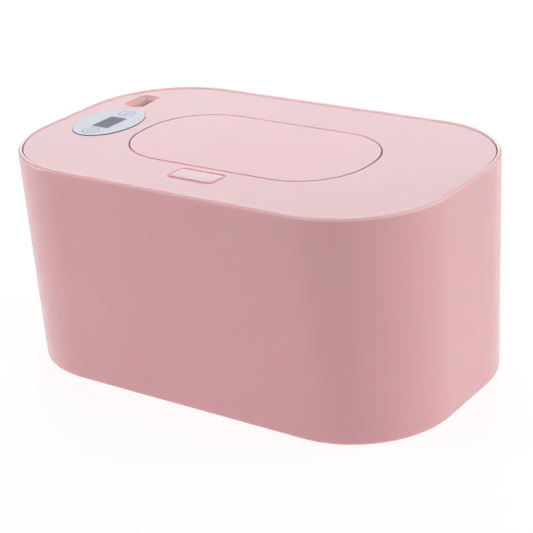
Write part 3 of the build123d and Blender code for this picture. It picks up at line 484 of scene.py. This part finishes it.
def stroke(bm, pts, width, z0, z1, closed=False):
    """Closed thin solid along a line of points, in millimetres."""
    n = len(pts)
    left, right = [], []
    for i, p in enumerate(pts):
        a = Vector(pts[(i - 1) % n]) if (closed or i > 0) else Vector(p)
        b = Vector(pts[(i + 1) % n]) if (closed or i < n - 1) else Vector(p)
        d = (b - a).normalized()
        nrm = Vector((-d.y, d.x)) * width / 2
        left.append(Vector(p) + nrm)
        right.append(Vector(p) - nrm)
    if not closed:
        slab(bm, [tuple(v) for v in right] + [tuple(v) for v in left[::-1]], z0, z1)
        return
    rings = []
    for side in (left, right):
        rings.append(([bm.verts.new(mm(v.x, v.y, z0)) for v in side], [bm.verts.new(mm(v.x, v.y, z1)) for v in side]))
    (ll, lh), (rl, rh) = rings
    for i in range(n):
        j = (i + 1) % n
        bm.faces.new((rh[i], rh[j], lh[j], lh[i]))
        bm.faces.new((rl[j], rl[i], ll[i], ll[j]))
        bm.faces.new((ll[i], ll[j], lh[j], lh[i]))
        bm.faces.new((rl[j], rl[i], rh[i], rh[j]))


def circle(cx, cy, r, n=72, a0=0.0, a1=360.0, closed=True):
    steps = n if closed else n + 1
    return [(cx + r * math.cos(math.radians(a0 + (a1 - a0) * i / n)), cy + r * math.sin(math.radians(a0 + (a1 - a0) * i / n))) for i in range(steps)]


def rounded(cx, cy, w, h, r, n=8):
    pts = []
    for sx, sy, a in ((1, 1, 0), (-1, 1, 90), (-1, -1, 180), (1, -1, 270)):
        for i in range(n + 1):
            t = math.radians(a + 90 * i / n)
            pts.append((cx + sx * (w / 2 - r) + r * math.cos(t), cy + sy * (h / 2 - r) + r * math.sin(t)))
    return pts


Z0, Z1 = LENS_Z - 0.01, LENS_Z + 0.012
# display window
bm = bmesh.new()
slab(bm, rounded(LCD_X, LCD_Y, 10.2, 16.1, 0.35), Z0, Z1)
display = finish_mesh("display_window", bm, SLOTS["display_glass"], "cover", smooth=False)

# two unlit digits, read from the front, only just darker than the glass
bm = bmesh.new()
SEG_Z0, SEG_Z1 = Z1 - 0.004, Z1 + 0.004


def segment_digit(cx, cy, w, h, t):
    g = 0.18
    for y in (cy - h / 2, cy, cy + h / 2):
        slab(bm, [(cx - w / 2 + g + t / 2, y), (cx - w / 2 + g + t, y + t / 2), (cx + w / 2 - g - t, y + t / 2), (cx + w / 2 - g - t / 2, y),
                  (cx + w / 2 - g - t, y - t / 2), (cx - w / 2 + g + t, y - t / 2)], SEG_Z0, SEG_Z1)
    for x in (cx - w / 2, cx + w / 2):
        for y0, y1 in ((cy - h / 2, cy), (cy, cy + h / 2)):
            slab(bm, [(x, y0 + g), (x + t / 2, y0 + g + t / 2), (x + t / 2, y1 - g - t / 2), (x, y1 - g),
                      (x - t / 2, y1 - g - t / 2), (x - t / 2, y0 + g + t / 2)], SEG_Z0, SEG_Z1)


segment_digit(LCD_X - 2.3, LCD_Y, 2.6, 6.4, 0.62)
segment_digit(LCD_X + 2.0, LCD_Y, 2.6, 6.4, 0.62)
unlit = display_material("display_unlit_segments", (0.205, 0.221, 0.285), (0.230, 0.246, 0.310))
finish_mesh("display_segments", bm, unlit, "cover", smooth=False)

# rings and signs of the two touch keys
grey_ink = ink_material("grey_key_ink", (0.12, 0.13, 0.175))
bm = bmesh.new()
for ky in (KEY_TOP_Y, KEY_LOW_Y):
    stroke(bm, circle(KEY_X, ky, 4.05), 0.5, Z0, Z1, closed=True)
# standby sign on the front key
stroke(bm, circle(KEY_X, KEY_LOW_Y, 1.75, 40, 125, 415, closed=False), 0.36, Z0, Z1)
stroke(bm, [(KEY_X, KEY_LOW_Y + 0.2), (KEY_X, KEY_LOW_Y + 2.3)], 0.36, Z0, Z1)
# thermometer sign on the rear key
stem = [(KEY_X - 0.55, KEY_TOP_Y - 0.65), (KEY_X - 0.55, KEY_TOP_Y + 1.75)] + \
       [(KEY_X + 0.55 * math.cos(math.radians(a)), KEY_TOP_Y + 1.75 + 0.55 * math.sin(math.radians(a))) for a in range(165, 0, -15)] + \
       [(KEY_X + 0.55, KEY_TOP_Y + 1.75), (KEY_X + 0.55, KEY_TOP_Y - 0.65)]
stroke(bm, stem, 0.26, Z0, Z1)
stroke(bm, circle(KEY_X, KEY_TOP_Y - 1.45, 0.95, 36, 125, -235 + 0, closed=False)[:36], 0.26, Z0, Z1)
slab(bm, circle(KEY_X, KEY_TOP_Y - 1.45, 0.5, 24), Z0, Z1)
for k in range(3):
    stroke(bm, [(KEY_X + 1.2, KEY_TOP_Y - 0.1 + 0.8 * k), (KEY_X + 1.9, KEY_TOP_Y - 0.1 + 0.8 * k)], 0.24, Z0, Z1)
finish_mesh("key_prints", bm, grey_ink, "cover", smooth=False)


# ------------------------------------------------------------------ latch spring
def spring_coil(name, radius, wire, y_start, y_end, z, turns, body, slot, around=10, per_turn=28):
    """Round wire wound about Y, drawn here as a fixed coil riding on the cover; the real spring shortens as the latch
    slides.
    """
    bm = bmesh.new()
    steps = int(turns * per_turn)
    rings = []
    for i in range(steps + 1):
        a = 2 * math.pi * turns * i / steps
        centre = Vector((radius * math.cos(a), y_start + (y_end - y_start) * i / steps, z + radius * math.sin(a)))
        out = Vector((math.cos(a), 0.0, math.sin(a)))
        rise = (y_end - y_start) / (2 * math.pi * turns)
        along = Vector((-radius * math.sin(a), rise, radius * math.cos(a))).normalized()
        side = along.cross(out)
        rings.append([
            bm.verts.new((centre + wire * (math.cos(b) * out + math.sin(b) * side)) * MM)
            for b in (2 * math.pi * k / around for k in range(around))
        ])
    for one, two in zip(rings, rings[1:]):
        for k in range(around):
            n = (k + 1) % around
            bm.faces.new((one[k], one[n], two[n], two[k]))
    bm.faces.new(rings[0])
    bm.faces.new(list(reversed(rings[-1])))
    return finish_mesh(name, bm, SLOTS[slot], body)


coil = spring_coil("latch_spring_coil", 1.75, 0.2, -57.3, -63.7, 101.0, 5.12, "cover", "steel")
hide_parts("latch_spring")
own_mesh(coil)


# ------------------------------------------------------------------ floor and light
def floor_material():
    s = Shader("floor_white")
    s.color(s.ramp(s.noise(3.0, 2.0), [(0.3, (0.29, 0.29, 0.29)), (0.7, (0.31, 0.31, 0.31))]))
    s.set(Roughness=0.9, Emission_Color=(1, 1, 1, 1), Emission_Strength=0.80)
    return s


mesh = bpy.data.meshes.new("floor")
half = 6.0
mesh.from_pydata([(-half, -half, 0), (half, -half, 0), (half, half, 0), (-half, half, 0)], [], [(0, 1, 2, 3)])
floor = bpy.data.objects.new("floor", mesh)
bpy.context.scene.collection.objects.link(floor)
floor.data.materials.append(floor_material().mat)

# pale wall round the floor, so that a low view doesn't look past the floor's edge; it neither lights nor shades the object
def wall_material():
    s = Shader("wall_white")
    s.color(s.ramp(s.noise(0.5, 2.0), [(0.3, (0.29, 0.29, 0.29)), (0.7, (0.31, 0.31, 0.31))]))
    s.set(Roughness=0.9, Emission_Color=(1, 1, 1, 1), Emission_Strength=0.80)
    return s


mesh = bpy.data.meshes.new("wall")
around = 64
ring = [(8.6 * math.cos(2 * math.pi * k / around), 8.6 * math.sin(2 * math.pi * k / around)) for k in range(around)]
mesh.from_pydata(
    [(x, y, -3.0) for x, y in ring] + [(x, y, 14.0) for x, y in ring], [],
    [(k, (k + 1) % around, around + (k + 1) % around, around + k) for k in range(around)])
wall = bpy.data.objects.new("wall", mesh)
bpy.context.scene.collection.objects.link(wall)
wall.data.materials.append(wall_material().mat)
wall.visible_diffuse = wall.visible_glossy = wall.visible_transmission = wall.visible_shadow = False

world = bpy.data.worlds.new("studio")
bpy.context.scene.world = world
world.use_nodes = True
world.node_tree.nodes["Background"].inputs[0].default_value = (1, 1, 1, 1)
world.node_tree.nodes["Background"].inputs[1].default_value = 0.0

# softboxes: name, bearing (0 is the front, 90 is +X), height angle, distance, width, height, watts, tint
LIGHTS = [
    ("top", 0, 90, 1.5, 1.6, 1.6, 6.9, (1.0, 0.96, 0.99)),
    ("front_left", -40, 35, 1.5, 0.9, 0.9, 1.2, (0.965, 1.0, 0.98)),
    ("front_right", 75, 35, 1.5, 0.7, 0.9, 3.1, (0.965, 1.0, 0.98)),
    ("left_low", -60, 8, 1.4, 0.5, 0.8, 8.57, (1.0, 1.0, 1.0)),
    ("right", 90, 15, 1.4, 0.8, 0.8, 2.86, (0.945, 1.0, 0.965)),
    ("right_back", 125, 20, 1.5, 0.9, 0.9, 6.1, (0.935, 1.0, 0.965)),
    ("back_low", 216, 10, 1.6, 1.4, 0.45, 5.0, (1.0, 0.955, 0.99)),
    ("back_mid", 216, 28, 1.6, 1.4, 0.5, 6.4, (1.0, 0.955, 0.99)),
]
AIM = Vector((0, 0, 0.06))
for name, az, el, dist, width, height, watts, tint in LIGHTS:
    a, e = math.radians(az), math.radians(el)
    data = bpy.data.lights.new(name, "AREA")
    data.shape = "RECTANGLE"
    data.size, data.size_y, data.energy = width, height, watts
    data.color = tint
    light = bpy.data.objects.new(name, data)
    bpy.context.scene.collection.objects.link(light)
    light.location = AIM + dist * Vector((math.sin(a) * math.cos(e), -math.cos(a) * math.cos(e), math.sin(e)))
    light.rotation_euler = (AIM - light.location).to_track_quat("-Z", "Y").to_euler()
